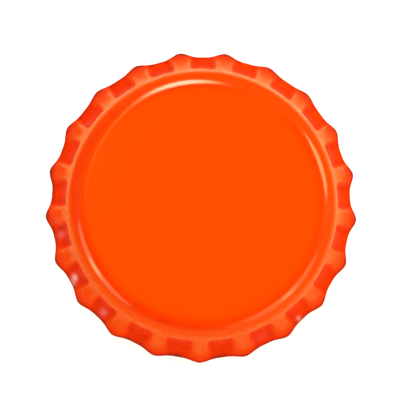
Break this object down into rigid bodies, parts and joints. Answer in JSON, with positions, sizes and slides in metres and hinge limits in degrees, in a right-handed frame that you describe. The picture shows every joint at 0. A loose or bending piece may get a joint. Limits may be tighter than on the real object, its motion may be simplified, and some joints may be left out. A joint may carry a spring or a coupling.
{
  "type": "bottle cap",
  "caption": "Pry-off cap for a bottle: a round flat top with a bent shoulder, a flared and fluted skirt, and a moulded sealing liner inside.",
  "frame": {"origin": "centre of the rim plane; the rim stands on z = 0", "axes": "+Z along the axis of the cap, out through the top panel; -Y through one tooth of the skirt"},
  "size_m": [0.032, 0.0319, 0.006],
  "materials": {
    "enamel": "glossy orange enamel on tinplate",
    "compound": "soft moulded sealing compound"
  },
  "bodies": {
    "root": {"shell": "enamel", "liner": "compound"}
  },
  "joints": []
}
